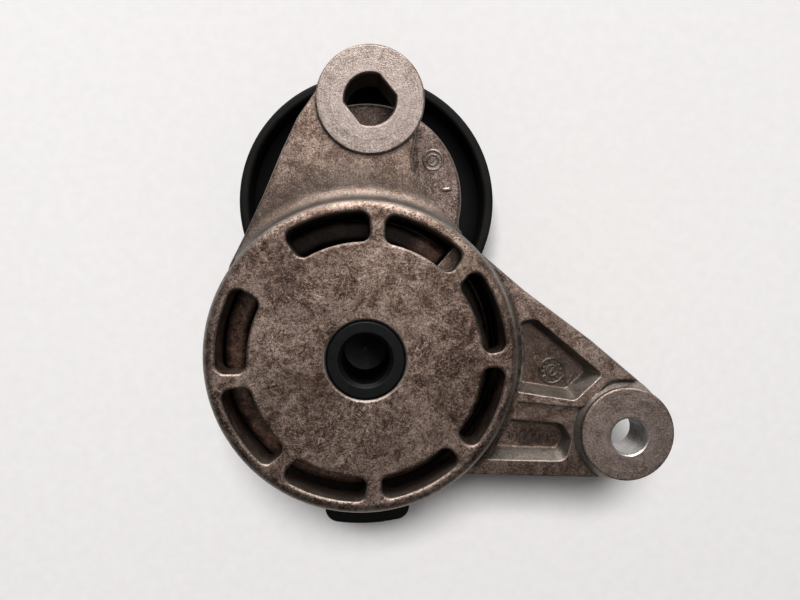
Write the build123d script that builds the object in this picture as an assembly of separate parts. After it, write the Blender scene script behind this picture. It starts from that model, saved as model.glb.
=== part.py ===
from build123d import *
import math
import os

os.makedirs("parts", exist_ok=True)

# Automatic belt tensioner: spring drum with two mounting ears, sprung arm and idler pulley.
# Millimetres, +Z up. Origin: pivot axis, in the plane of the two machined ear faces.
# The drum's back face is above that plane, the arm and the pulley are below it.

# ---------------------------------------------------------------- driving dimensions
TOP = 6.0              # back face of the drum
DRUM_R = 43.5
DX, DY = -1.0, 0.7     # the drum casting is slightly off the pivot axis
DRUM_BOT = -21.0
WALL_RI = 40.7         # inside of the drum wall
PLATE_T = 4.6          # thickness of the back plate near the hub
SPOKE_BOT = -3.2       # underside of the spokes between the windows
WIN_RI, WIN_RO = 32.4, 39.8   # inner arcs turn about the pivot, outer arcs about the drum
WIN_SPAN = 35.8
WIN_PITCH = 42.4
WIN_ANGLES = [104.9 - WIN_PITCH * i for i in range(8)]
OX, OY = -0.55, 0.33   # shift of the outline coordinates to the pivot axis
EAR_TOP = -1.2
EAR_BOT = -14.5
BRK_TOP = -2.4
UP_X, UP_Y, UP_R = 1.65, 71.9, 15.2        # upper ear boss
DD_R, DD_HALF, DD_DIR = 7.1, 6.05, -51.0   # double-D hole: arc radius, half width over the flats, flat direction
RT_X, RT_Y, RT_R = 75.05, -22.7, 13.5        # right ear boss
RH_X, RH_Y = 75.45, -23.4                    # its bolt hole
BOLT_R = 5.25
PIVOT_R, PIVOT_BORE_R = 11.0, 6.7
PIVOT_BORE_Z = -24.5
BUSH_RI, BUSH_RO = 11.05, 12.6
HUB_RO = 17.0
WIRE_W, WIRE_H = 6.1, 5.6
SPRING_R = 35.4
SPRING_X, SPRING_Y = -1.9, 0.4   # the coil leans against the left of the drum wall
SPRING_PITCH = 6.3
SPRING_TURNS = 2.05
SPRING_TOP = -3.8
SPRING_END_ANGLE = 50.0
ARM_TOP, ARM_BOT = -23.3, -27.3
HUBD_TOP = -16.5
PX, PY = 0.75, 46.0     # pulley axis
HUBD_R = 28.45
PUL_R, PUL_RI = 40.0, 37.0
PUL_Z0, PUL_Z1 = -28.2, -54.2
BRG_Z0, BRG_Z1 = -33.2, -45.2
BRG_RI, BRG_RO = 8.5, 20.0
BALL_R, BALL_PCR, BALL_N = 3.30, 14.25, 8
ARM_TRAVEL = 40.0      # clockwise seen from above, from the free stop to the loaded stop
STOP_A0, STOP_A1 = 200.0, 222.0
STOP_GAP = 0.7


# ---------------------------------------------------------------- helpers
def cyl(r, z0, z1, x=0.0, y=0.0):
    lo, hi = min(z0, z1), max(z0, z1)
    return Pos(x, y, lo) * Cylinder(r, hi - lo, align=(Align.CENTER, Align.CENTER, Align.MIN))


def tube(ro, ri, z0, z1, x=0.0, y=0.0):
    return cyl(ro, z0, z1, x, y) - cyl(ri, min(z0, z1) - 1, max(z0, z1) + 1, x, y)


def polar(r, a, x=0.0, y=0.0):
    return (x + r * math.cos(math.radians(a)), y + r * math.sin(math.radians(a)))


def prism(face, z0, z1):
    lo, hi = min(z0, z1), max(z0, z1)
    return Pos(0, 0, lo) * extrude(face, amount=hi - lo, dir=(0, 0, 1))


def sector_face(ri, ro, a0, a1, x=0.0, y=0.0):
    am = (a0 + a1) / 2
    p1, p2 = polar(ri, a0, x, y), polar(ro, a0, x, y)
    p3, p4 = polar(ro, a1, x, y), polar(ri, a1, x, y)
    lines = (Line(p1, p2) + ThreePointArc(p2, polar(ro, am, x, y), p3)
             + Line(p3, p4) + ThreePointArc(p4, polar(ri, am, x, y), p1))
    return make_face(lines)


def window_face(ri, ro, a0, a1):
    # seen about the drum's centre, with the inner arc turned about the pivot
    am = (a0 + a1) / 2
    p1, p2 = polar(ri, a0, -DX, -DY), polar(ro, a0)
    p3, p4 = polar(ro, a1), polar(ri, a1, -DX, -DY)
    lines = (Line(p1, p2) + ThreePointArc(p2, polar(ro, am), p3)
             + Line(p3, p4) + ThreePointArc(p4, polar(ri, am, -DX, -DY), p1))
    return make_face(lines)


def sector(ri, ro, a0, a1, z0, z1, x=0.0, y=0.0, corner=0.0):
    f = sector_face(ri, ro, a0, a1, x, y)
    if corner > 0:
        f = fillet(f.vertices(), corner)
    return prism(f, z0, z1)


def poly(pts, radii, z0, z1):
    # outline given about the casting's own centre lines
    return Pos(OX, OY, 0) * prism(make_face(FilletPolyline(*pts, radius=radii, close=True)), z0, z1)


def top_edges(s):
    return s.edges().group_by(Axis.Z)[-1]


def bottom_edges(s):
    return s.edges().group_by(Axis.Z)[0]


def revolve_rz(pts):
    # closed polygon of (r, z) points turned about the Z axis
    f = make_face(Polyline(*[(r, 0, z) for r, z in pts], close=True))
    return revolve(f, Axis.Z, 360)


def save(shape, name):
    export_step(shape, "parts/" + name + ".step")


# ---------------------------------------------------------------- base housing
def make_base():
    drum = cyl(DRUM_R, DRUM_BOT, TOP, DX, DY)
    drum = fillet(top_edges(drum), 2.8)

    # ear web towards the upper boss
    ear_pts = [(-40.0, 12.0), (-37.4, 25.6), (-32.8, 34.6), (-27.6, 45.6), (-22.6, 57.4), (-18.0, 67.0), (-11.9, 75.6),
               (-4.0, 78.0), (8.0, 78.0), (15.2, 67.0), (14.9, 61.5),
               (13.8, 55.5), (14.2, 52.0), (18.5, 45.6), (23.6, 39.4), (28.5, 34.4), (22.0, 15.0)]
    ear_rad = [1.0, 6.0, 12.0, 12.0, 12.0, 12.0, 1.0,
               1.0, 1.0, 1.5, 4.0, 4.0, 1.6, 3.0, 4.0, 3.0, 1.0]
    ear = poly(ear_pts, ear_rad, EAR_BOT, EAR_TOP)
    ear = fillet(top_edges(ear), 0.9)
    boss_u = fillet(top_edges(cyl(UP_R, EAR_BOT - 0.8, 0.0, UP_X, UP_Y)), 0.5)
    boss_u = fillet(bottom_edges(boss_u), 0.5)

    # bracket towards the right boss
    brk_pts = [(22.0, 10.0), (26.7, 34.8), (46.3, 18.1), (65.3, 4.0), (81.7, -9.8), (88.0, -18.0), (87.0, -30.0),
               (76.0, -36.2), (63.8, -36.2), (29.9, -34.8), (10.0, -20.0)]
    brk = poly(brk_pts, [1.0, 4.0, 10.0, 10.0, 6.0, 6.0, 8.0, 8.0, 4.0, 1.0, 1.0], EAR_BOT, BRK_TOP)
    brk = fillet(top_edges(brk), 1.1)
    # lower half of the bracket is 1.5 mm lower, behind a rib along the triangular pocket
    step = poly([(38.0, -12.9), (62.9, -15.6), (71.2, -7.6), (96.0, -7.6), (96.0, -50.0), (20.0, -50.0)],
                [1.0, 3.0, 2.0, 1.0, 1.0, 1.0], BRK_TOP - 1.5, BRK_TOP + 3)
    brk = brk - step
    boss_r = fillet(top_edges(cyl(RT_R, EAR_BOT - 0.8, 0.0, RT_X, RT_Y)), 0.45)
    boss_r = fillet(bottom_edges(boss_r), 0.5)
    # sloped skirt round the right boss
    skirt = Pos(RT_X, RT_Y, BRK_TOP - 1.5) * Cone(RT_R + 1.5, RT_R - 0.1, 2.6, align=(Align.CENTER, Align.CENTER, Align.MIN))
    skirt = skirt & poly([(40, 20), (65.3, 4.0), (81.7, -9.8), (88.0, -18.0), (87.0, -30.0), (76.0, -36.2), (63.8, -36.2), (40, -36)],
                         2.0, -10, 2)

    # concave blend between the drum wall and the ears
    def blend_ring(rr, z):
        f = make_face(Line((DRUM_R - 2, 0, z - 1), (DRUM_R + rr, 0, z - 1))
                      + Line((DRUM_R + rr, 0, z - 1), (DRUM_R + rr, 0, z))
                      + ThreePointArc((DRUM_R + rr, 0, z),
                                      (DRUM_R + rr * (1 - math.sqrt(0.5)), 0, z + rr * (1 - math.sqrt(0.5))),
                                      (DRUM_R, 0, z + rr))
                      + Line((DRUM_R, 0, z + rr), (DRUM_R - 2, 0, z + rr))
                      + Line((DRUM_R - 2, 0, z + rr), (DRUM_R - 2, 0, z - 1)))
        return Pos(DX, DY, 0) * revolve(f, Axis.Z, 360)

    blend_ear = blend_ring(4.2, EAR_TOP) & poly([(0, 0), (-35.6, 27.6), (-31.0, 36.0), (-26.6, 46.8), (-24.0, 53.0), (14.2, 52.0), (18.0, 45.6), (26.5, 36.2)],
                                                0.8, -6, 6)
    blend_brk = blend_ring(3.2, BRK_TOP) & poly([(0, 0), (27.3, 33.4), (46.3, 17.2), (60, 6), (60, -33.6), (32.5, -33.6)],
                                                0.8, -8, 6)

    body = drum + ear + brk + boss_u + boss_r + skirt + blend_ear + blend_brk

    # inside of the drum
    cavity = cyl(WALL_RI - 0.3, DRUM_BOT - 1, SPOKE_BOT, DX, DY) + cyl(WALL_RI, DRUM_BOT - 1, DRUM_BOT + 6, DX, DY)
    body = body - cavity
    body = body - tube(29.0, 15.5, SPOKE_BOT - 1, TOP - PLATE_T)
    body = body + tube(25.0, 21.7, -13.0, TOP - PLATE_T + 0.5)          # skirt that holds the friction lining
    body = body + sector(21.75, 24.95, STOP_A0, STOP_A1, -20.0, -12.0)   # stop tab between the two blocks of the arm
    body = body + tube(15.5, PIVOT_R, SPOKE_BOT, TOP - 1)                # hub for the pivot shaft
    body = body - cyl(PIVOT_R, -40, TOP + 1)
    body = chamfer(body.edges().filter_by(GeomType.CIRCLE).filter_by(
        lambda e: abs(e.radius - PIVOT_R) < 1e-3 and abs(e.center().Z - TOP) < 1e-3), 0.5)

    # arc windows with draft
    for a in WIN_ANGLES:
        dr = 0.3
        da = math.degrees(0.4 / ((WIN_RI + WIN_RO) / 2))
        f0 = window_face(WIN_RI, WIN_RO, a - WIN_SPAN / 2, a + WIN_SPAN / 2)
        f0 = fillet(f0.vertices(), 2.6)
        f1 = window_face(WIN_RI + dr, WIN_RO - dr, a - WIN_SPAN / 2 + da, a + WIN_SPAN / 2 - da)
        f1 = fillet(f1.vertices(), 2.4)
        w = loft([Pos(DX, DY, TOP) * f0, Pos(DX, DY, SPOKE_BOT - 1) * f1])
        body = body - w
    # cast abutment for the spring end
    stop = sector(33.2, WALL_RI + 2, SPRING_END_ANGLE - 10, SPRING_END_ANGLE - 1.2, SPOKE_BOT - 5.6, SPOKE_BOT + 3, x=SPRING_X, y=SPRING_Y)
    body = body + (stop & cyl(WALL_RI + 0.6, -30, 10, DX, DY))

    # through holes of the ears
    body = body - cyl(BOLT_R, -40, 20, RH_X, RH_Y)
    ddf = Circle(DD_R) & (Rot(0, 0, DD_DIR) * Rectangle(40, 2 * DD_HALF))
    body = body - prism(Pos(UP_X, UP_Y) * ddf, -40, 20)
    ddc = Circle(DD_R + 0.55) & (Rot(0, 0, DD_DIR) * Rectangle(40, 2 * DD_HALF + 1.1))
    body = body - loft([Pos(UP_X, UP_Y, -0.5) * ddf, Pos(UP_X, UP_Y, 0.05) * ddc])

    # triangular pocket and slot pocket of the bracket: steep walls above, long sloped walls below
    def pocket(floor_pts, top_pts, floor_rad, top_rad, zf, zt):
        f0 = make_face(FilletPolyline(*floor_pts, radius=floor_rad, close=True))
        f1 = make_face(FilletPolyline(*top_pts, radius=top_rad, close=True))
        return loft([Pos(OX, OY, zf) * f0, Pos(OX, OY, zt) * f1])

    tri = pocket([(43.8, 7.6), (49.0, 8.8), (65.6, -5.3), (59.6, -10.9), (43.0, -8.2)],
                 [(44.4, 9.3), (49.3, 10.3), (68.9, -6.0), (60.9, -13.6), (43.7, -10.8)],
                 [1.2, 2.6, 1.6, 1.8, 0.8], [1.6, 3.0, 1.2, 2.0, 1.0], -8.4, BRK_TOP + 0.01)
    slot = pocket([(34.6, -19.2), (56.6, -21.2), (58.6, -24.6), (57.0, -28.6), (34.8, -27.6)],
                  [(35.0, -18.2), (57.6, -20.4), (60.4, -25.0), (58.6, -31.6), (35.2, -30.7)],
                  [0.8, 2.8, 1.8, 2.2, 1.2], [0.8, 3.4, 2.6, 3.0, 1.5], -8.8, BRK_TOP - 1.49)
    def soften(p):
        for r in (1.0, 0.7, 0.4):
            try:
                return fillet(bottom_edges(p), r)
            except Exception:
                continue
        print("pocket floor left sharp")
        return p

    tri, slot = soften(tri), soften(slot)
    # both stop at the drum's side wall
    guard = cyl(DRUM_R + 0.4, -30, 20, DX, DY)
    body = body - (tri - guard) - (slot - guard)

    # cored pockets on the underside
    core_l = poly([(-31.0, 37.0), (-25.5, 45.5), (-21.5, 56.5), (-15.0, 63.0), (-6.5, 56.0), (-6.5, 46.5)], 1.6, EAR_BOT - 1, -6.2)
    core_r = poly([(-3.0, 46.8), (-3.0, 54.6), (9.6, 56.5), (10.6, 51.5), (14.6, 45.6)], 1.2, EAR_BOT - 1, -6.2)
    ring_keep = cyl(DRUM_R + 2.6, -40, 20, DX, DY)
    body = body - (core_l - ring_keep) - (core_r - ring_keep)

    # chamfers of the two bolt holes
    for r, x, y in ((BOLT_R, RH_X, RH_Y),):
        body = body - (Pos(x, y, -0.45) * Cone(r, r + 0.5, 0.5, align=(Align.CENTER, Align.CENTER, Align.MIN)))
        body = body - (Pos(x, y, EAR_BOT - 0.85) * Cone(r + 0.5, r, 0.5, align=(Align.CENTER, Align.CENTER, Align.MIN)))

    # date dial in the triangular pocket: raised ring, spokes and a plain pointer
    dx, dy, dz = 54.8, -5.2, -8.4
    body = body + tube(3.85, 3.4, dz - 0.5, dz + 0.5, dx, dy)
    for i in range(12):
        p = polar(2.7, 30 * i + 8, dx, dy)
        body = body + Pos(p[0], p[1], dz) * Rot(0, 0, 30 * i + 8) * Box(0.9, 0.34, 0.9)
    body = body + tube(1.75, 1.4, dz - 0.5, dz + 0.4, dx, dy)
    body = body + Pos(dx, dy, dz) * Rot(0, 0, 60) * Box(2.3, 0.45, 0.9)
    # V mark beside it, and plain bars in the slot pocket
    body = body + Pos(60.1, -8.0, dz) * Rot(0, 0, 62) * Box(3.0, 0.5, 0.9)
    body = body + Pos(58.7, -7.7, dz) * Rot(0, 0, -62) * Box(2.4, 0.5, 0.9)
    for i in range(6):
        body = body + Pos(42.6 + 2.3 * i, -24.3 - 0.2 * i, -8.8) * Box(0.5, 2.0, 0.9)
    return body


base = make_base()

# soft cast edge round each window
try:
    win_edges = base.edges().filter_by(
        lambda e: abs(e.center().Z - TOP) < 1e-3 and abs(e.bounding_box().max.Z - e.bounding_box().min.Z) < 1e-3
        and 30.0 < math.hypot(e.center().X - DX, e.center().Y - DY) < 40.9)
    base = fillet(win_edges, 0.7)
except Exception as err:
    print("window fillet failed:", err)

save(base, "base_housing")

# ---------------------------------------------------------------- pivot, bush and washers
pivot = cyl(PIVOT_R, -25.3, TOP - 0.3) + cyl(8.5, -26.6, -25.3) + cyl(10.2, -27.2, -26.5)
pivot = pivot - cyl(PIVOT_BORE_R, PIVOT_BORE_Z, TOP + 2)
pivot = pivot - Pos(0, 0, PIVOT_BORE_Z - 1.4) * Cone(0.4, PIVOT_BORE_R, 1.4, align=(Align.CENTER, Align.CENTER, Align.MIN))
pivot = pivot - Pos(0, 0, TOP - 0.3 - 1.0) * Cone(PIVOT_BORE_R, PIVOT_BORE_R + 1.05, 1.05, align=(Align.CENTER, Align.CENTER, Align.MIN))
pivot = chamfer(pivot.edges().filter_by(GeomType.CIRCLE).filter_by(
    lambda e: abs(e.radius - PIVOT_R) < 1e-3 and e.center().Z > 5), 0.6)
pivot = fillet(pivot.edges().filter_by(GeomType.CIRCLE).filter_by(
    lambda e: abs(e.radius - 10.2) < 1e-3 and e.center().Z < -27.1), 0.4)
save(pivot, "pivot_shaft")

save(tube(BUSH_RO, BUSH_RI, -5.0, -24.3), "pivot_bush")
save(tube(16.3, 11.2, -3.2, -4.4), "thrust_washer_inner")
save(tube(14.5, 11.2, -24.6, -25.3), "thrust_washer_outer")
save(chamfer(bottom_edges(tube(14.6, 8.5, -25.3, -26.5)).sort_by(SortBy.RADIUS)[-1:], 0.3), "retaining_plate")

# ---------------------------------------------------------------- friction pack
lining = sector(17.35, 20.3, 4, 356, -12.8, -0.8)
save(lining, "friction_lining")
clip = sector(20.35, 21.6, 14, 346, -11.4, -2.2)
save(clip, "lining_clip")

ring = tube(43.3, 39.6, -23.0, DRUM_BOT, DX, DY) + tube(40.5, 39.6, -23.0, -16.4, DX, DY)
lug = sector(41.0, 53.2, -103.6, -73.4, -23.0, -17.2, x=-0.95, y=0.1, corner=4.2)
lug = fillet(top_edges(lug), 1.0)
lug = lug - cyl(DRUM_R + 0.1, DRUM_BOT, 0, DX, DY)
ring = ring + lug
save(ring, "damper_ring")

# ---------------------------------------------------------------- torsion spring
spr_h = SPRING_PITCH * SPRING_TURNS
helix = Helix(pitch=SPRING_PITCH, height=spr_h, radius=SPRING_R, lefthand=True)
start = helix @ 0
tan = helix % 0
sec_plane = Plane(origin=start, x_dir=(start.X, start.Y, 0), z_dir=tan)
section = sec_plane * RectangleRounded(WIRE_W, WIRE_H, 1.7)
spring = sweep(section, path=helix, is_frenet=True)
top_pt = helix @ 1
top_ang = math.degrees(math.atan2(top_pt.Y, top_pt.X))
spring = Pos(SPRING_X, SPRING_Y, SPRING_TOP - WIRE_H / 2 - spr_h) * Rot(0, 0, SPRING_END_ANGLE - top_ang) * spring
save(spring, "torsion_spring")
low_end_angle = SPRING_END_ANGLE + 360 * SPRING_TURNS

# ---------------------------------------------------------------- arm
def make_arm():
    # plate: disc about the pivot and disc about the pulley, joined by two straight parallel flanks
    face = Circle(43.0) + Pos(PX, PY) * Circle(HUBD_R) + Pos(PX, PY / 2) * Rectangle(2 * HUBD_R, PY)
    plate = prism(face, ARM_BOT, ARM_TOP)
    notch = plate.edges().filter_by(Axis.Z).filter_by(lambda e: 20 < abs(e.center().X - PX) < 29 and 20 < e.center().Y < 44)
    try:
        plate = fillet(notch, 5.0)
    except Exception as err:
        print("arm notch fillet failed:", err)
    plate = fillet(bottom_edges(plate), 0.8)
    hubd = cyl(HUBD_R, ARM_BOT + 1, HUBD_TOP, PX, PY)
    hubd = fillet(top_edges(hubd), 1.4)
    hubd = hubd - cyl(45.6, ARM_TOP, 0)
    arm = plate + hubd
    # hub tube on the pivot
    arm = arm + cyl(HUB_RO, ARM_TOP - 1, -4.7)
    arm = arm + Pos(0, 0, ARM_TOP) * Cone(HUB_RO + 2.2, HUB_RO - 0.1, 2.4, align=(Align.CENTER, Align.CENTER, Align.MIN))
    # spring abutment on the plate
    a = low_end_angle % 360
    arm = arm + sector(32.6, 38.4, a + 1.4, a + 13, ARM_TOP - 1, -17.0, x=SPRING_X, y=SPRING_Y, corner=0.6)
    # ring that centres the spring guide
    arm = arm + tube(28.6, 26.6, ARM_TOP - 1, -15.5)
    # two stop blocks either side of the tab in the housing
    for a0, a1 in ((STOP_A0 - STOP_GAP - 18, STOP_A0 - STOP_GAP), (STOP_A1 + ARM_TRAVEL + STOP_GAP, STOP_A1 + ARM_TRAVEL + STOP_GAP + 18)):
        arm = arm + sector(22.0, 24.7, a0, a1, ARM_TOP - 1, -14.2)
    arm = arm - cyl(BUSH_RO, -24.3, 0)
    arm = arm - cyl(PIVOT_R + 0.4, -40, 0)
    arm = arm - cyl(15.0, -40, -24.3)
    # lightening pockets under the plate, away from the pulley
    for a0, a1 in ((188, 226), (232, 270), (276, 308)):
        arm = arm - sector(19.5, 38.5, a0, a1, ARM_BOT - 1, ARM_BOT + 1.6, corner=2.5)
    # pulley boss and spigot
    boss = cyl(13.0, ARM_BOT + 1, -32.2, PX, PY)
    boss = boss + Pos(PX, PY, -30.4) * Cone(13.0, 16.5, 3.4, align=(Align.CENTER, Align.CENTER, Align.MIN))
    arm = arm + boss
    for i in range(6):
        q = polar(19.0, 60 * i + 30, PX, PY)
        arm = arm + (Pos(q[0], q[1], (ARM_BOT - 30.0) / 2) * Rot(0, 0, 60 * i + 30) * Box(14.0, 2.4, 30.0 + ARM_BOT + 0.02))
    arm = arm + cyl(BRG_RI, -44.6, -32.0, PX, PY)
    arm = arm - cyl(5.0, -60, -21.0, PX, PY)
    arm = arm - Pos(PX, PY, -21.0) * Cone(5.0, 0.5, 2.4, align=(Align.CENTER, Align.CENTER, Align.MIN))
    # date dial and bar on the visible part of the hub disc
    dx, dy = 20.45, 57.5
    arm = arm + tube(3.1, 2.7, HUBD_TOP - 0.4, HUBD_TOP + 0.25, dx, dy)
    arm = arm + tube(1.75, 1.45, HUBD_TOP - 0.4, HUBD_TOP + 0.25, dx, dy)
    arm = arm + Pos(dx, dy, HUBD_TOP) * Rot(0, 0, 55) * Box(2.0, 0.4, 0.5)
    arm = arm + Pos(24.7, 48.7, HUBD_TOP) * Rot(0, 0, 4) * Box(2.5, 0.8, 0.6)
    return arm


arm = make_arm()
save(arm, "tension_arm")
save(tube(29.8, 28.65, ARM_TOP, -11.0), "spring_guide")

# ---------------------------------------------------------------- pulley and bearing
def at_pulley(s):
    return Pos(PX, PY, 0) * s


def make_pulley():
    rim = tube(PUL_R, PUL_RI, PUL_Z1, PUL_Z0)
    rim = fillet(rim.edges().filter_by(GeomType.CIRCLE), 1.0)
    web = revolve_rz([(20.0, -37.4), (24.2, -37.4), (24.2, -40.2), (PUL_RI + 1, -41.2), (PUL_RI + 1, -44.4),
                      (24.2, -44.8), (20.0, -44.8)])
    hub = tube(24.2, 20.0, -46.4, BRG_Z0) + tube(24.2, 21.5, -52.4, -45.6)
    p = rim + web + hub
    for i in range(12):
        a = 30 * i
        f = make_face(Polyline((23.6, 0, -44.0), (PUL_RI + 0.8, 0, -44.0), (PUL_RI + 0.8, 0, -52.6), (23.6, 0, -51.2), close=True))
        rib = extrude(f, amount=1.0, both=True)
        p = p + Rot(0, 0, a) * rib
    return p


pulley = make_pulley()
save(at_pulley(pulley), "pulley")

mid = (BRG_Z0 + BRG_Z1) / 2
groove = Pos(0, 0, mid) * Torus(BALL_PCR, 3.55)
outer = tube(BRG_RO, 17.1, BRG_Z0, BRG_Z1)
outer = fillet(outer.edges().filter_by(GeomType.CIRCLE).filter_by(lambda e: abs(e.radius - BRG_RO) < 1e-3), 0.6) - groove
inner = tube(11.5, BRG_RI, BRG_Z0, BRG_Z1)
inner = fillet(inner.edges().filter_by(GeomType.CIRCLE).filter_by(lambda e: abs(e.radius - BRG_RI) < 1e-3), 0.5) - groove
save(at_pulley(outer), "bearing_outer_ring")
save(at_pulley(inner), "bearing_inner_ring")

balls = []
cage = tube(15.2, 13.2, mid - 4.3, mid + 4.3)
for i in range(BALL_N):
    q = polar(BALL_PCR, 360 / BALL_N * i)
    balls.append(Pos(PX + q[0], PY + q[1], mid) * Sphere(BALL_R))
    cage = cage - Pos(q[0], q[1], mid) * Rot(0, 0, 360 / BALL_N * i) * Rot(0, 90, 0) * Cylinder(BALL_R + 0.15, 6.0)
save(Compound(children=balls), "bearing_balls")
save(at_pulley(cage), "bearing_cage")

for name, za, zb in (("bearing_seal_rear", BRG_Z0 - 0.3, BRG_Z0 - 1.1), ("bearing_seal_front", BRG_Z1 + 1.1, BRG_Z1 + 0.3)):
    save(at_pulley(tube(17.05, 11.9, za, zb)), name)

# slinger disc clamped between the arm boss and the inner ring
shield = revolve_rz([(8.6, -32.2), (15.0, -32.2), (18.4, -31.2), (18.4, -32.0), (15.2, -33.1), (11.4, -33.2), (8.6, -33.2)])
save(at_pulley(shield), "dust_shield")

# flanged bolt
head = extrude(RegularPolygon(8.7, 6, major_radius=True), amount=5.0)
head = head & (cyl(8.6, 1.0, 5.0) + Cone(7.4, 8.6, 1.0, align=(Align.CENTER, Align.CENTER, Align.MIN)))
bolt = Pos(0, 0, -52.2) * head
flange = Pos(0, 0, -47.2) * (cyl(10.8, 0.0, 2.0))
flange = fillet(bottom_edges(flange), 0.9)
bolt = bolt + flange + cyl(4.9, -23.4, -46.0)
bolt = chamfer(top_edges(bolt), 0.7)
save(at_pulley(bolt), "pulley_bolt")

# plastic cap that snaps into the pulley hub over the bolt
cap = cyl(23.4, -53.7, -52.5)
cap = fillet(bottom_edges(cap), 0.9)
cap = cap + tube(21.4, 19.9, -52.6, -47.6)
cap = cap - cyl(16.0, -54.0, -53.3) + tube(12.0, 10.8, -53.6, -53.0)
save(at_pulley(cap), "dust_cap")

print("nodes written; spring low end at", low_end_angle % 360)
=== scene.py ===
import math
import random

import bmesh
import bpy
from mathutils import Matrix, Vector


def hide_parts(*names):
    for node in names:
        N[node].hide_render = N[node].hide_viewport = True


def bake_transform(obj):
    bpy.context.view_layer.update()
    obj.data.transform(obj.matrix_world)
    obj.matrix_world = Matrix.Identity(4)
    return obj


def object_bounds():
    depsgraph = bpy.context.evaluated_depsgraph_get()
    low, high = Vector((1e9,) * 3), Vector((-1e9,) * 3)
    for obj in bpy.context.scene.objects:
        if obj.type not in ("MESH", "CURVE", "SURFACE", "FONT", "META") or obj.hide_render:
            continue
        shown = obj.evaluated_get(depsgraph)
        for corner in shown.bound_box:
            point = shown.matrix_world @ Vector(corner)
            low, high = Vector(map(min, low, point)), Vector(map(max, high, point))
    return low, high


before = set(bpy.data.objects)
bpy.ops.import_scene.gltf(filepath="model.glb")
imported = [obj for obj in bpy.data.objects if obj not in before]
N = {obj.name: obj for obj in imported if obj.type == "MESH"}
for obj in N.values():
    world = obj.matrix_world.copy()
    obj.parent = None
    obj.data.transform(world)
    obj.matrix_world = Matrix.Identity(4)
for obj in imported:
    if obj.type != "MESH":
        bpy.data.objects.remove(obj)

box0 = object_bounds()
MM = 0.001
rng = random.Random(7)


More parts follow.
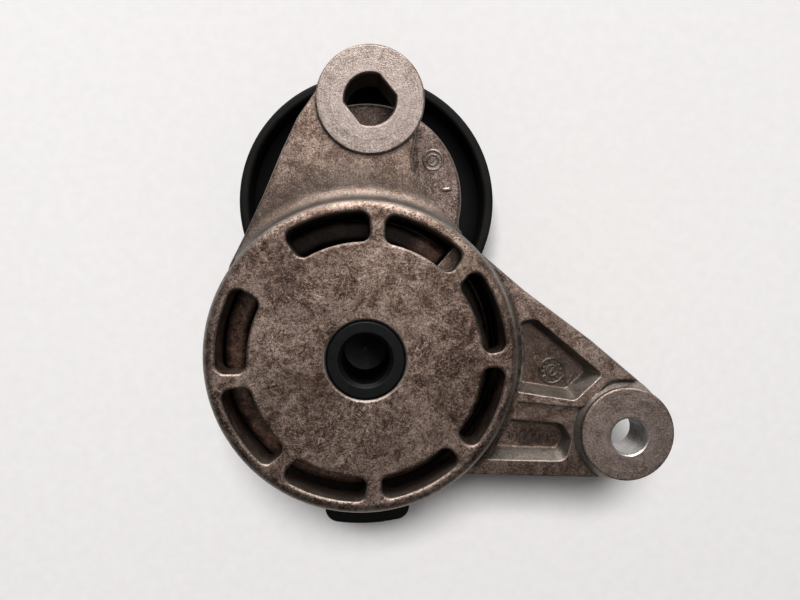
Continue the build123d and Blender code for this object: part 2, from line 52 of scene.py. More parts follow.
# ------------------------------------------------------------------ node helpers
class G:
    """A small material builder."""

    def __init__(self, name):
        self.m = bpy.data.materials.new(name)
        self.m.use_nodes = True
        self.t = self.m.node_tree
        self.t.nodes.clear()
        self.out = self.t.nodes.new("ShaderNodeOutputMaterial")
        self.bsdf = self.t.nodes.new("ShaderNodeBsdfPrincipled")
        self.t.links.new(self.bsdf.outputs[0], self.out.inputs[0])
        self.co = self.t.nodes.new("ShaderNodeTexCoord").outputs["Object"]

    def link(self, a, b):
        self.t.links.new(a, b)

    def put(self, sock, v):
        if hasattr(v, "is_output") or isinstance(v, bpy.types.NodeSocket):
            self.link(v, sock)
        elif isinstance(v, (tuple, list)) and len(v) == 3 and len(sock.default_value) == 4:
            sock.default_value = (*v, 1)
        else:
            sock.default_value = v

    def set(self, name, v):
        self.put(self.bsdf.inputs[name], v)

    def math(self, op, a, b=None, c=None, clamp=False):
        n = self.t.nodes.new("ShaderNodeMath")
        n.operation = op
        n.use_clamp = clamp
        self.put(n.inputs[0], a)
        if b is not None:
            self.put(n.inputs[1], b)
        if c is not None:
            self.put(n.inputs[2], c)
        return n.outputs[0]

    def vmath(self, op, a, b=None, scale=None):
        n = self.t.nodes.new("ShaderNodeVectorMath")
        n.operation = op
        self.put(n.inputs[0], a)
        if b is not None:
            self.put(n.inputs[1], b)
        if scale is not None:
            self.put(n.inputs["Scale"], scale)
        return n.outputs["Value"] if op in ("LENGTH", "DOT_PRODUCT", "DISTANCE") else n.outputs[0]

    def noise(self, scale, detail=4.0, rough=0.55, dist=0.0, co=None, kind="FBM"):
        n = self.t.nodes.new("ShaderNodeTexNoise")
        n.noise_type = kind
        self.put(n.inputs["Vector"], co or self.co)
        n.inputs["Scale"].default_value = scale
        n.inputs["Detail"].default_value = detail
        n.inputs["Roughness"].default_value = rough
        n.inputs["Distortion"].default_value = dist
        return n.outputs["Fac"]

    def voronoi(self, scale, feature="F1", out="Distance", rand=1.0, co=None):
        n = self.t.nodes.new("ShaderNodeTexVoronoi")
        n.feature = feature
        self.put(n.inputs["Vector"], co or self.co)
        n.inputs["Scale"].default_value = scale
        n.inputs["Randomness"].default_value = rand
        return n.outputs[out]

    def ramp(self, fac, stops, interp="LINEAR"):
        n = self.t.nodes.new("ShaderNodeValToRGB")
        self.put(n.inputs[0], fac)
        cr = n.color_ramp
        cr.interpolation = interp
        while len(cr.elements) < len(stops):
            cr.elements.new(0.5)
        for e, (p, c) in zip(cr.elements, stops):
            e.position = p
            e.color = (c, c, c, 1) if isinstance(c, (int, float)) else (*c, 1)
        return n.outputs[0]

    def mix(self, fac, a, b, mode="MIX"):
        n = self.t.nodes.new("ShaderNodeMix")
        n.data_type = "RGBA"
        n.blend_type = mode
        n.clamp_factor = True
        self.put(n.inputs[0], fac)
        self.put(n.inputs[6], a)
        self.put(n.inputs[7], b)
        return n.outputs[2]

    def maprange(self, v, a, b, c=0.0, d=1.0, smooth=True):
        n = self.t.nodes.new("ShaderNodeMapRange")
        n.interpolation_type = "SMOOTHSTEP" if smooth else "LINEAR"
        n.clamp = True
        self.put(n.inputs[0], v)
        for i, q in enumerate((a, b, c, d)):
            n.inputs[1 + i].default_value = q
        return n.outputs[0]

    def xyz(self, co=None):
        n = self.t.nodes.new("ShaderNodeSeparateXYZ")
        self.put(n.inputs[0], co or self.co)
        return n.outputs[0], n.outputs[1], n.outputs[2]

    def comb(self, x, y, z):
        n = self.t.nodes.new("ShaderNodeCombineXYZ")
        for i, q in enumerate((x, y, z)):
            self.put(n.inputs[i], q)
        return n.outputs[0]

    def normal_z(self):
        g = self.t.nodes.new("ShaderNodeNewGeometry")
        return self.xyz(g.outputs["Normal"])[2]

    def ao(self, dist, samples=6, inside=False):
        n = self.t.nodes.new("ShaderNodeAmbientOcclusion")
        n.samples = samples
        n.inside = inside
        n.inputs["Distance"].default_value = dist
        return n.outputs["AO"]

    def edge(self, radius, samples=6):
        # 1 on rounded outer and inner edges, 0 on flat areas
        b = self.t.nodes.new("ShaderNodeBevel")
        b.samples = samples
        b.inputs["Radius"].default_value = radius
        g = self.t.nodes.new("ShaderNodeNewGeometry")
        d = self.vmath("DOT_PRODUCT", b.outputs[0], g.outputs["Normal"])
        return self.math("SUBTRACT", 1.0, d, clamp=True), b.outputs[0]

    def bump(self, height, strength, dist, normal=None):
        n = self.t.nodes.new("ShaderNodeBump")
        n.inputs["Strength"].default_value = strength
        n.inputs["Distance"].default_value = dist
        self.put(n.inputs["Height"], height)
        if normal is not None:
            self.put(n.inputs["Normal"], normal)
        return n.outputs[0]

    def ring(self, x, y, r0, r1, soft=0.0004):
        # 1 inside the annulus round (x, y), in metres
        px, py, pz = self.xyz()
        d = self.math("SQRT", self.math("ADD",
                                        self.math("POWER", self.math("SUBTRACT", px, x), 2.0),
                                        self.math("POWER", self.math("SUBTRACT", py, y), 2.0)))
        inner = self.maprange(d, r0 - soft, r0 + soft)
        outer = self.maprange(d, r1 - soft, r1 + soft, 1.0, 0.0)
        return self.math("MULTIPLY", inner, outer), d


UPX, UPY = 0.00165, 0.0719      # upper ear
RTX, RTY = 0.07505, -0.0227     # right ear boss
RHX, RHY = 0.07545, -0.0234     # right ear hole
PX, PY = 0.00075, 0.0460        # pulley axis


# ------------------------------------------------------------------ cast aluminium
def cast_aluminium(name, dark, mid, light, grain=1.0, housing=True):
    g = G(name)
    off = lambda x, y, z: g.vmath("ADD", g.co, (x, y, z))
    # staining at three scales
    big = g.noise(24.0, 4.0, 0.60, 0.8)
    blot = g.noise(95.0, 6.0, 0.68, 2.6)
    mott = g.noise(330.0, 5.0, 0.72, 0.9, co=off(0.2, 0.0, 0.1))
    tone = g.math("ADD", g.math("MULTIPLY", big, 0.30), g.math("ADD", g.math("MULTIPLY", blot, 0.44), g.math("MULTIPLY", mott, 0.26)))
    col = g.ramp(tone, [(0.42, dark), (0.50, mid), (0.58, light)])
    # pale wisps where the metal flowed and chilled
    wis = None
    for sc_, w_, ox, t in ((34.0, 0.016, 0.00, 3.6), (52.0, 0.014, 0.31, 4.6), (80.0, 0.018, 0.77, 3.0)):
        f = g.noise(sc_, 3.5, 0.60, t, co=off(ox, ox * 0.7, 0.0))
        l = g.maprange(g.math("ABSOLUTE", g.math("SUBTRACT", f, 0.5)), 0.0, w_, 1.0, 0.0)
        wis = l if wis is None else g.math("MAXIMUM", wis, l)
    keep = g.maprange(g.noise(48.0, 3.0, 0.6, co=off(0.0, 0.9, 0.0)), 0.42, 0.60)
    fray = g.maprange(g.noise(620.0, 3.0, 0.7), 0.36, 0.58)
    wis = g.math("MULTIPLY", wis, g.math("MULTIPLY", keep, fray))
    col = g.mix(g.math("MULTIPLY", wis, 0.66), col, tuple(min(1.0, c * 1.90) for c in light))
    # oval pale islands edged by darker film
    isl = g.maprange(g.noise(62.0, 4.0, 0.55, 1.8, co=off(0.4, 0.4, 0.2)), 0.53, 0.57)
    col = g.mix(g.math("MULTIPLY", isl, 0.30), col, tuple(min(1.0, c * 1.25) for c in light))
    # blasted grain
    spk = g.noise(3600.0, 2.0, 0.75)
    spk2 = g.noise(1750.0, 2.0, 0.70, co=off(0.5, 0.2, 0.1))
    s = g.math("ADD", g.math("MULTIPLY", spk, 0.50), g.math("MULTIPLY", spk2, 0.50))
    dk = g.maprange(s, 0.38, 0.50, 1.0, 0.0)
    lt = g.maprange(s, 0.52, 0.64)
    col = g.mix(g.math("MULTIPLY", dk, 0.82 * grain), col, tuple(c * 0.40 for c in dark))
    col = g.mix(g.math("MULTIPLY", lt, 0.52 * grain), col, tuple(min(1.0, c * 1.80) for c in light))
    # brown dirt film and painted shade in hollows and against walls, from an ambient-occlusion mask
    ao = g.ao(0.0045, 6)
    hollow_dirt_and_shade = g.math("MULTIPLY", g.maprange(ao, 0.20, 0.80, 1.0, 0.0), g.maprange(g.noise(230.0, 4.0, 0.6), 0.25, 0.75, 0.65, 1.0))
    col = g.mix(g.math("MULTIPLY", hollow_dirt_and_shade, 0.62), col, (0.022, 0.014, 0.011))
    wash = g.maprange(g.noise(44.0, 5.0, 0.66, 1.0, co=off(0.7, 0.1, 0.4)), 0.48, 0.72)
    col = g.mix(g.math("MULTIPLY", wash, 0.34), col, (0.090, 0.052, 0.035))
    cool = g.maprange(g.noise(40.0, 4.0, 0.6, 1.0, co=off(0.1, 0.6, 0.9)), 0.56, 0.74)
    col = g.mix(g.math("MULTIPLY", cool, 0.30), col, (0.062, 0.048, 0.053))
    edge, bev = g.edge(0.00058, 5)
    # worn bright edges, also a painted highlight line along every rounded edge
    edge_wear_and_highlight = g.math("MULTIPLY", g.maprange(edge, 0.02, 0.16), g.maprange(g.noise(480.0, 4.0, 0.7), 0.32, 0.58))
    col = g.mix(g.math("MULTIPLY", edge_wear_and_highlight, 0.80), col, (0.78, 0.75, 0.71))
    rough = g.math("ADD", g.math("MULTIPLY", g.math("SUBTRACT", blot, 0.5), 0.40), 0.46)
    height = g.math("ADD", s, g.math("MULTIPLY", mott, 0.6))
    metal = g.math("SUBTRACT", 0.90, g.math("MULTIPLY", hollow_dirt_and_shade, 0.55))
    # painted highlight: sloped and upright skins are lightened towards a neutral grey, so the light they catch reads
    # whiter than on the flat face
    nzs = g.normal_z()
    slope = g.math("MULTIPLY", g.maprange(nzs, 0.62, 0.95, 1.0, 0.0), g.maprange(nzs, 0.05, 0.42))
    slope = g.math("MULTIPLY", slope, g.maprange(s, 0.34, 0.60, 0.42, 1.0))
    col = g.mix(g.math("MULTIPLY", slope, 0.72), col, (0.375, 0.355, 0.330))
    # painted shade in the bottoms of small relief, from a short ambient-occlusion mask
    relief_shade = g.maprange(g.ao(0.0010, 5), 0.40, 0.88, 1.0, 0.0)
    col = g.mix(g.math("MULTIPLY", relief_shade, 0.62), col, (0.014, 0.010, 0.008))
    if housing:
        _r, dd0 = g.ring(-0.001, 0.0007, 0.0, 0.05)
        ears = g.math("MULTIPLY", g.maprange(dd0, 0.0440, 0.0475), g.maprange(g.noise(70.0, 4.0, 0.6, 1.0, co=off(0.3, 0.3, 0.6)), 0.30, 0.60, 0.35, 1.0))
        col = g.mix(g.math("MULTIPLY", ears, 0.10), col, light)
        # painted shade: the blend ring on the top side of the drum is darkened to damp its highlight
        band = g.math("MULTIPLY", g.maprange(dd0, 0.0425, 0.0440), g.maprange(dd0, 0.0485, 0.0560, 1.0, 0.0))
        upper_blend_shade = g.math("MULTIPLY", band, g.maprange(g.xyz()[1], 0.020, 0.036))
        col = g.mix(g.math("MULTIPLY", upper_blend_shade, 0.52), col, (0.085, 0.073, 0.064))
        # painted shade: the floors of the bracket's two pockets are darkened
        hx, hy, hz = g.xyz()
        pocket_floor_shade = g.math("MULTIPLY", g.math("MULTIPLY", g.maprange(hz, -0.0045, -0.0032, 1.0, 0.0), g.maprange(nzs, 0.90, 0.97)), g.maprange(hx, 0.044, 0.047))
        col = g.mix(g.math("MULTIPLY", pocket_floor_shade, 0.50), col, (0.055, 0.038, 0.030))
        # painted light: the walls of the lower windows are lightened where the window light falls on them
        lower_wall_light = g.math("MULTIPLY", g.math("MULTIPLY", g.maprange(dd0, 0.0388, 0.0394), g.maprange(dd0, 0.0402, 0.0408, 1.0, 0.0)), g.maprange(hy, -0.026, -0.016, 1.0, 0.0))
        lower_wall_light = g.math("MULTIPLY", lower_wall_light, g.maprange(nzs, 0.25, 0.50, 1.0, 0.0))
        col = g.mix(g.math("MULTIPLY", lower_wall_light, 0.60), col, (0.330, 0.270, 0.235))
        nz = g.normal_z()
        up = g.maprange(nz, 0.90, 0.985)
        pz = g.xyz()[2]
        at = g.math("MULTIPLY", g.maprange(pz, -0.0009, -0.0003), g.maprange(pz, 0.0004, 0.0010, 1.0, 0.0))
        ru, du = g.ring(UPX, UPY, 0.0, 0.0152)
        rr, dr = g.ring(RTX, RTY, 0.0, 0.0134)
        cut_u = g.math("MULTIPLY", g.math("MULTIPLY", ru, up), at)
        cut_r = g.math("MULTIPLY", g.math("MULTIPLY", rr, up), at)
        cut = g.math("MAXIMUM", cut_u, cut_r)
        # faced with a cutter: faint uneven rings, cleaner than the cast skin on the upper ear
        dd = g.math("MINIMUM", du, dr)
        rings = g.noise(1700.0, 2.0, 0.7, co=g.comb(dd, 0.0, 0.0))
        tone2 = g.math("ADD", g.math("MULTIPLY", rings, 0.14), g.math("ADD", g.math("MULTIPLY", s, 0.56), g.math("MULTIPLY", mott, 0.30)))
        face_u = g.ramp(tone2, [(0.40, (0.140, 0.108, 0.092)), (0.50, (0.300, 0.258, 0.238)), (0.60, (0.430, 0.388, 0.366))])
        face_r = g.ramp(tone2, [(0.38, (0.110, 0.084, 0.074)), (0.50, (0.260, 0.218, 0.202)), (0.62, (0.420, 0.372, 0.350))])
        pol_u, _a = g.ring(UPX, UPY, 0.0, 0.0111, 0.0005)
        face_u = g.mix(g.math("MULTIPLY", pol_u, 0.20), face_u, (0.46, 0.40, 0.38))
        step, _c = g.ring(UPX, UPY, 0.01105, 0.0114, 0.0002)
        face_u = g.mix(g.math("MULTIPLY", step, 0.14), face_u, (0.11, 0.085, 0.07))
        pol_r, _b = g.ring(RHX, RHY, 0.0062, 0.0080, 0.0006)
        face_r = g.mix(g.math("MULTIPLY", pol_r, 0.40), face_r, (0.38, 0.33, 0.31))
        col = g.mix(g.math("MULTIPLY", cut_u, 0.88), col, face_u)
        col = g.mix(g.math("MULTIPLY", cut_r, 0.55), col, face_r)
        height = g.math("ADD", height, g.math("MULTIPLY", g.math("MULTIPLY", cut, rings), 0.35))
        # drilled wall of the bolt hole and the broached double-D
        side = g.maprange(g.math("ABSOLUTE", nz), 0.62, 0.9, 1.0, 0.0)
        bu, _d = g.ring(UPX, UPY, 0.0, 0.0079, 0.0001)
        br, _e = g.ring(RHX, RHY, 0.0, 0.0062, 0.0001)
        boreg = g.ramp(g.noise(700.0, 3.0, 0.6, co=g.vmath("MULTIPLY", g.co, (0.25, 0.25, 3.0))), [(0.3, (0.46, 0.44, 0.43)), (0.7, (0.78, 0.76, 0.75))])
        col = g.mix(g.math("MULTIPLY", side, g.math("MULTIPLY", br, 0.94)), col, boreg)
        col = g.mix(g.math("MULTIPLY", side, g.math("MULTIPLY", bu, 0.70)), col, (0.125, 0.088, 0.072))
        rough = g.math("SUBTRACT", rough, g.math("MULTIPLY", g.math("MULTIPLY", side, br), 0.14))
    g.set("Base Color", col)
    g.set("Roughness", g.math("MINIMUM", g.math("MAXIMUM", rough, 0.28), 0.80))
    g.set("Metallic", metal)
    g.set("Normal", g.bump(height, 0.70, 0.00018, bev))
    return g.m


# ------------------------------------------------------------------ black parts
def black_plastic(name, base=(0.0105, 0.0102, 0.0100), scuff=0.30, turned=None):
    g = G(name)
    n1 = g.noise(900.0, 3.0, 0.6)
    n2 = g.noise(120.0, 4.0, 0.6, 0.4)
    col = g.ramp(n2, [(0.3, tuple(c * 0.75 for c in base)), (0.7, tuple(c * 1.5 for c in base))])
    scr = g.noise(420.0, 4.0, 0.75, 1.5)
    dust = g.math("MULTIPLY", g.maprange(scr, 0.60, 0.74), scuff)
    col = g.mix(dust, col, (0.030, 0.027, 0.024))
    edge, bev = g.edge(0.00035, 4)
    col = g.mix(g.math("MULTIPLY", g.maprange(edge, 0.03, 0.25), 0.35), col, (0.035, 0.031, 0.028))
    rough = g.ramp(n2, [(0.3, 0.46), (0.7, 0.60)])
    h = n1
    if turned:
        cx, cy = turned
        px, py, pz = g.xyz()
        # belt-polished running surface: rings round the axis
        rings = g.noise(1500.0, 2.0, 0.6, co=g.comb(0.0, 0.0, pz))
        h = g.math("ADD", g.math("MULTIPLY", n1, 0.5), g.math("MULTIPLY", rings, 0.8))
        col = g.mix(g.math("MULTIPLY", g.maprange(rings, 0.55, 0.75), 0.25), col, (0.024, 0.023, 0.022))
    g.set("Base Color", col)
    g.set("Roughness", rough)
    g.set("Specular IOR Level", 0.14)
    g.set("Normal", g.bump(h, 0.35, 0.00006, bev))
    return g.m


def black_steel(name):
    g = G(name)
    n = g.noise(260.0, 4.0, 0.65, 0.5)
    col = g.ramp(n, [(0.3, (0.0042, 0.0046, 0.0050)), (0.7, (0.0100, 0.0107, 0.0118))])
    px, py, pz = g.xyz()
    r = g.math("SQRT", g.math("ADD", g.math("POWER", px, 2.0), g.math("POWER", py, 2.0)))
    turn = g.noise(2600.0, 2.0, 0.6, co=g.comb(r, 0.0, pz))
    edge, bev = g.edge(0.0004, 6)
    w = g.math("MULTIPLY", g.maprange(edge, 0.01, 0.16), g.maprange(g.noise(300.0, 4.0, 0.7), 0.3, 0.6))
    col = g.mix(g.math("MULTIPLY", w, 0.6), col, (0.10, 0.10, 0.105))
    # painted shade: the bore is darker the deeper it goes
    bore_depth_shade = g.math("MULTIPLY", g.maprange(pz, -0.002, 0.0035, 1.0, 0.0), g.maprange(r, 0.0072, 0.0078, 1.0, 0.0))
    col = g.mix(bore_depth_shade, col, (0.0016, 0.0015, 0.0015))
    g.set("Base Color", col)
    g.set("Metallic", g.math("SUBTRACT", 0.35, g.math("MULTIPLY", bore_depth_shade, 0.35)))
    g.set("Specular IOR Level", 0.25)
    g.set("Roughness", g.ramp(n, [(0.3, 0.34), (0.7, 0.48)]))
    g.set("Normal", g.bump(turn, 0.25, 0.00006, bev))
    return g.m


def rust_spring(name):
    g = G(name)
    n = g.noise(190.0, 6.0, 0.72, 0.9)
    f = g.noise(1300.0, 3.0, 0.7)
    col = g.ramp(g.math("ADD", g.math("MULTIPLY", n, 0.65), g.math("MULTIPLY", f, 0.35)),
                 [(0.36, (0.022, 0.012, 0.010)), (0.46, (0.088, 0.047, 0.035)), (0.56, (0.190, 0.124, 0.092)), (0.68, (0.360, 0.283, 0.214))])
    patch = g.maprange(g.noise(85.0, 4.0, 0.6, 1.3), 0.52, 0.68)
    col = g.mix(g.math("MULTIPLY", patch, 0.50), col, (0.105, 0.042, 0.022))
    edge, bev = g.edge(0.0005, 4)
    px, py, pz = g.xyz()
    # painted shade: the coil is darkened to near black except its lower part, its left part and around the cut end
    near = g.math("SQRT", g.math("ADD", g.math("POWER", g.math("SUBTRACT", px, 0.0200), 2.0), g.math("POWER", g.math("SUBTRACT", py, 0.0280), 2.0)))
    unshaded_zone = g.math("MAXIMUM", g.maprange(near, 0.0045, 0.010, 1.0, 0.0), g.math("MAXIMUM", g.maprange(py, -0.004, 0.014, 1.0, 0.0), g.maprange(px, -0.030, -0.022, 1.0, 0.0)))
    col = g.mix(g.math("SUBTRACT", 0.86, g.math("MULTIPLY", unshaded_zone, 0.86)), col, (0.006, 0.0045, 0.004))
    g.set("Base Color", col)
    g.set("Metallic", g.math("SUBTRACT", 0.62, g.math("MULTIPLY", patch, 0.45)))
    g.set("Roughness", g.ramp(n, [(0.3, 0.40), (0.7, 0.66)]))
    g.set("Normal", g.bump(g.math("ADD", f, g.math("MULTIPLY", n, 0.7)), 0.8, 0.00016, bev))
    return g.m


def rust_cut(name):
    g = G(name)
    n = g.noise(700.0, 5.0, 0.7, 0.6)
    col = g.ramp(n, [(0.32, (0.13, 0.045, 0.022)), (0.55, (0.40, 0.175, 0.085)), (0.75, (0.62, 0.37, 0.22))])
    g.set("Base Color", col)
    g.set("Roughness", g.ramp(n, [(0.3, 0.55), (0.7, 0.8)]))
    g.set("Normal", g.bump(n, 0.6, 0.00012))
    return g.m


def steel(name, dark, light, rough=(0.22, 0.42), rings=None, metal=1.0, tint=None):
    g = G(name)
    n = g.noise(150.0, 4.0, 0.6, 0.4)
    f = g.noise(1800.0, 2.0, 0.6)
    col = g.ramp(g.math("ADD", g.math("MULTIPLY", n, 0.6), g.math("MULTIPLY", f, 0.4)), [(0.35, dark), (0.65, light)])
    if tint:
        col = g.mix(g.math("MULTIPLY", g.maprange(g.noise(60.0, 3.0, 0.6, 0.8), 0.45, 0.7), 0.4), col, tint)
    edge, bev = g.edge(0.0003, 4)
    col = g.mix(g.math("MULTIPLY", g.maprange(edge, 0.03, 0.25), 0.3), col, tuple(min(1, c * 1.25) for c in light))
    h = f
    if rings:
        cx, cy = rings
        px, py, pz = g.xyz()
        r = g.math("SQRT", g.math("ADD", g.math("POWER", g.math("SUBTRACT", px, cx), 2.0), g.math("POWER", g.math("SUBTRACT", py, cy), 2.0)))
        h = g.noise(3000.0, 2.0, 0.5, co=g.comb(r, 0.0, pz))
    g.set("Base Color", col)
    g.set("Metallic", metal)
    g.set("Roughness", g.ramp(n, [(0.3, rough[0]), (0.7, rough[1])]))
    g.set("Normal", g.bump(h, 0.22, 0.00004, bev))
    return g.m


def soft_plain(name, a, b, rough=(0.45, 0.65), bump=0.4):
    g = G(name)
    n = g.noise(240.0, 5.0, 0.65, 0.5)
    f = g.noise(1500.0, 3.0, 0.65)
    col = g.ramp(g.math("ADD", g.math("MULTIPLY", n, 0.6), g.math("MULTIPLY", f, 0.4)), [(0.35, a), (0.65, b)])
    edge, bev = g.edge(0.0003, 4)
    g.set("Base Color", col)
    g.set("Roughness", g.ramp(n, [(0.3, rough[0]), (0.7, rough[1])]))
    g.set("Normal", g.bump(f, bump, 0.00008, bev))
    return g.m


M_HOUSING = cast_aluminium("cast_aluminium_housing", (0.062, 0.039, 0.030), (0.150, 0.106, 0.086), (0.300, 0.238, 0.206))
M_ARM = cast_aluminium("cast_aluminium_arm", (0.075, 0.052, 0.044), (0.150, 0.112, 0.098), (0.270, 0.218, 0.196), grain=1.0, housing=False)
M_PIVOT = black_steel("black_phosphated")
M_PULLEY = black_plastic("pulley_plastic", turned=(PX, PY))
M_PLASTIC = black_plastic("black_plastic", scuff=0.25)
M_SPRING = rust_spring("spring_rust")
M_CUT = rust_cut("spring_cut_end")
M_BEAR = steel("bearing_steel", (0.42, 0.42, 0.43), (0.66, 0.66, 0.67), (0.16, 0.30), rings=(PX, PY))
M_ZINC = steel("zinc_steel", (0.40, 0.40, 0.40), (0.62, 0.61, 0.58), (0.26, 0.44), tint=(0.50, 0.44, 0.32))
M_CLIP = steel("clip_steel", (0.22, 0.20, 0.19), (0.40, 0.38, 0.36), (0.28, 0.45))
M_FRIC = soft_plain("friction_plastic", (0.045, 0.042, 0.036), (0.095, 0.088, 0.074))
M_SEAL = soft_plain("seal_rubber", (0.014, 0.012, 0.011), (0.034, 0.029, 0.026), (0.5, 0.7))
M_BRZ = steel("bronze", (0.26, 0.17, 0.08), (0.46, 0.33, 0.18), (0.35, 0.55))

assign = {
    "base_housing": M_HOUSING, "tension_arm": M_ARM, "pivot_shaft": M_PIVOT, "pivot_bush": M_BRZ,
    "thrust_washer_inner": M_FRIC, "thrust_washer_outer": M_FRIC, "retaining_plate": M_ZINC,
    "friction_lining": M_FRIC, "lining_clip": M_CLIP, "damper_ring": M_PLASTIC, "torsion_spring": M_SPRING,
    "spring_guide": M_PLASTIC, "pulley": M_PULLEY, "bearing_outer_ring": M_BEAR, "bearing_inner_ring": M_BEAR,
    "bearing_balls": M_BEAR, "bearing_cage": M_ZINC, "bearing_seal_rear": M_SEAL, "bearing_seal_front": M_SEAL,
    "dust_shield": M_ZINC, "pulley_bolt": M_ZINC, "dust_cap": M_PLASTIC}
for name, m in assign.items():
    o = N[name]
    if o.data.materials:
        for i in range(len(o.data.materials)):
            o.material_slots[i].material = m
    else:
        o.data.materials.append(m)


# ------------------------------------------------------------------ torsion spring
def make_spring():
    w, h, rc = 6.1, 5.6, 1.7
    R, pitch, turns = 35.4, 6.3, 2.05
    cx, cy = -1.9, 0.4
    z_top = -3.8 - h / 2
    a_top = 50.0
    prof = []
    for ccx, ccy, a0 in ((w / 2 - rc, h / 2 - rc, 0), (-w / 2 + rc, h / 2 - rc, 90), (-w / 2 + rc, -h / 2 + rc, 180), (w / 2 - rc, -h / 2 + rc, 270)):
        for k in range(5):
            a = math.radians(a0 + 22.5 * k)
            prof.append((ccx + rc * math.cos(a), ccy + rc * math.sin(a)))
    bm = bmesh.new()
    n = int(turns * 150)
    rings = []
    slope = math.atan(pitch / (2 * math.pi * R))
    for i in range(n + 1):
        t = i / n
        ang = math.radians(a_top + 360 * turns * t)
        # the wire is not perfectly even
        rj = 0.06 * math.sin(5.1 * ang + 0.7) + 0.04 * math.sin(11.3 * ang)
        zj = 0.05 * math.sin(3.3 * ang + 1.9)
        tw = math.radians(1.2 * math.sin(2.2 * ang))
        z = z_top - pitch * turns * t + zj * min(1, 12 * t, 12 * (1 - t))
        er = Vector((math.cos(ang), math.sin(ang), 0))
        et = Vector((-math.sin(ang) * math.cos(slope), math.cos(ang) * math.cos(slope), -math.sin(slope)))
        ez = er.cross(et)
        if ez.z < 0:
            ez = -ez
        c = Vector((cx, cy, z)) + er * (R + rj)
        row = []
        for u, v in prof:
            uu = u * math.cos(tw) - v * math.sin(tw)
            vv = u * math.sin(tw) + v * math.cos(tw)
            p = c + er * uu + ez * vv
            row.append(bm.verts.new(p * MM))
        rings.append(row)
    k = len(prof)
    for i in range(n):
        for j in range(k):
            f = bm.faces.new((rings[i][j], rings[i][(j + 1) % k], rings[i + 1][(j + 1) % k], rings[i + 1][j]))
            f.smooth = True
    # cut ends: a slightly smaller rim, then the sheared face
    for side, row, nxt in ((0, rings[0], rings[1]), (1, rings[-1], rings[-2])):
        c = sum((v.co for v in row), Vector()) / k
        c2 = sum((v.co for v in nxt), Vector()) / k
        out = (c - c2).normalized()
        inner = [bm.verts.new(c + (v.co - c) * 0.90 + out * 0.00035) for v in row]
        hub = bm.verts.new(c + out * 0.00045)
        for j in range(k):
            q = (row[j], row[(j + 1) % k], inner[(j + 1) % k], inner[j])
            f = bm.faces.new(q if side else q[::-1])
            f.smooth = True
            q = (inner[j], inner[(j + 1) % k], hub)
            f = bm.faces.new(q if side else q[::-1])
            f.material_index = 1
    bmesh.ops.recalc_face_normals(bm, faces=bm.faces)
    me = bpy.data.meshes.new("spring_coil")
    bm.to_mesh(me)
    bm.free()
    o = bpy.data.objects.new("spring_coil", me)
    bpy.context.scene.collection.objects.link(o)
    me.materials.append(M_SPRING)
    me.materials.append(M_CUT)
    return o


spring = make_spring()
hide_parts("torsion_spring")
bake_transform(spring)

# ------------------------------------------------------------------ floor
lo, hi = box0
fz = lo[2] - 0.00005


def floor():
    n, size = 96, 3.2
    bm = bmesh.new()
    grid = []
    for i in range(n + 1):
        row = []
        for j in range(n + 1):
            x = (i / n - 0.5) * size
            y = (j / n - 0.5) * size
            row.append(bm.verts.new((x, y, fz)))
        grid.append(row)
    for i in range(n):
        for j in range(n):
            bm.faces.new((grid[i][j], grid[i + 1][j], grid[i + 1][j + 1], grid[i][j + 1]))
    me = bpy.data.meshes.new("floor")
    bm.to_mesh(me)
    bm.free()
    o = bpy.data.objects.new("floor", me)
    bpy.context.scene.collection.objects.link(o)
    g = G("floor_paper")
    n1 = g.noise(260.0, 4.0, 0.6)
    n2 = g.noise(6.0, 3.0, 0.5)
    col = g.mix(0.35, g.ramp(n1, [(0.35, (0.835, 0.826, 0.826)), (0.65, (0.870, 0.862, 0.862))]),
                g.ramp(n2, [(0.3, (0.835, 0.824, 0.824)), (0.7, (0.872, 0.866, 0.866))]))
    g.set("Base Color", col)
    g.set("Roughness", g.ramp(n1, [(0.3, 0.82), (0.7, 0.92)]))
    g.set("Specular IOR Level", 0.15)
    me.materials.append(g.m)
    return o


ground_obj = floor()


# ------------------------------------------------------------------ camera
def rot_xyz(rx, ry, rz):
    return Matrix.Rotation(rz, 4, "Z") @ Matrix.Rotation(ry, 4, "Y") @ Matrix.Rotation(rx, 4, "X")


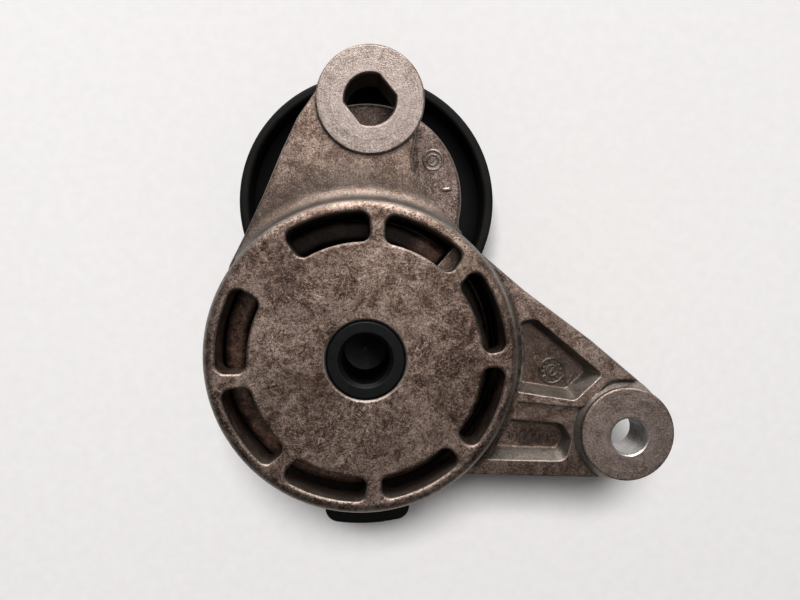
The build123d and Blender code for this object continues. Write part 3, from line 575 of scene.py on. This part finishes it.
cam = bpy.data.cameras.new("camera")
cam.sensor_width = 36.0
cam.lens = 753.4 / 800.0 * 36.0
cam.clip_start = 0.005
cam.clip_end = 20.0
camo = bpy.data.objects.new("camera", cam)
bpy.context.scene.collection.objects.link(camo)
camo.matrix_world = Matrix.Translation((-0.0000786, 0.0250856, 0.2107213)) @ rot_xyz(-0.0420, -0.0465, -0.0033)
bpy.context.scene.camera = camo


# ------------------------------------------------------------------ light
def area(name, loc, target, sx, sy, power, color=(1, 1, 1)):
    l = bpy.data.lights.new(name, "AREA")
    l.shape = "RECTANGLE"
    l.size, l.size_y = sx, sy
    l.energy = power
    l.color = color
    o = bpy.data.objects.new(name, l)
    bpy.context.scene.collection.objects.link(o)
    o.location = loc
    d = Vector(target) - Vector(loc)
    o.rotation_euler = d.to_track_quat("-Z", "Y").to_euler()
    return o


lit = bpy.data.collections.new("lit_by_window")
for o in list(N.values()) + [spring]:
    lit.objects.link(o)
ground = bpy.data.collections.new("lit_ground")
ground.objects.link(ground_obj)
# overhead softbox, set brighter on the backdrop, and a tall window behind the top of the object
over_f = area("overhead_floor", (-0.14, 0.76, 1.86), (0.0, 0.0, 0.0), 0.76, 0.50, 41.5, (1.0, 0.99, 0.98))
over_o = area("overhead_object", (0.16, 0.20, 1.20), (0.0, 0.02, 0.0), 0.70, 0.60, 5.0, (1.0, 0.99, 0.98))
over_o.light_linking.receiver_collection = lit
over_f.light_linking.receiver_collection = ground
win = area("window", (-0.02, 0.95, 0.60), (0.0, 0.0, 0.0), 1.10, 0.70, 26.0, (1.0, 0.99, 0.97))
win.light_linking.receiver_collection = lit

w = bpy.data.worlds.new("world")
bpy.context.scene.world = w
w.use_nodes = True
bg = w.node_tree.nodes["Background"]
bg.inputs[0].default_value = (1.0, 0.99, 0.985, 1)
bg.inputs[1].default_value = 0.15

sc = bpy.context.scene
sc.view_settings.view_transform = "Standard"
sc.view_settings.look = "None"
sc.view_settings.exposure = 0.0
sc.view_settings.gamma = 0.80
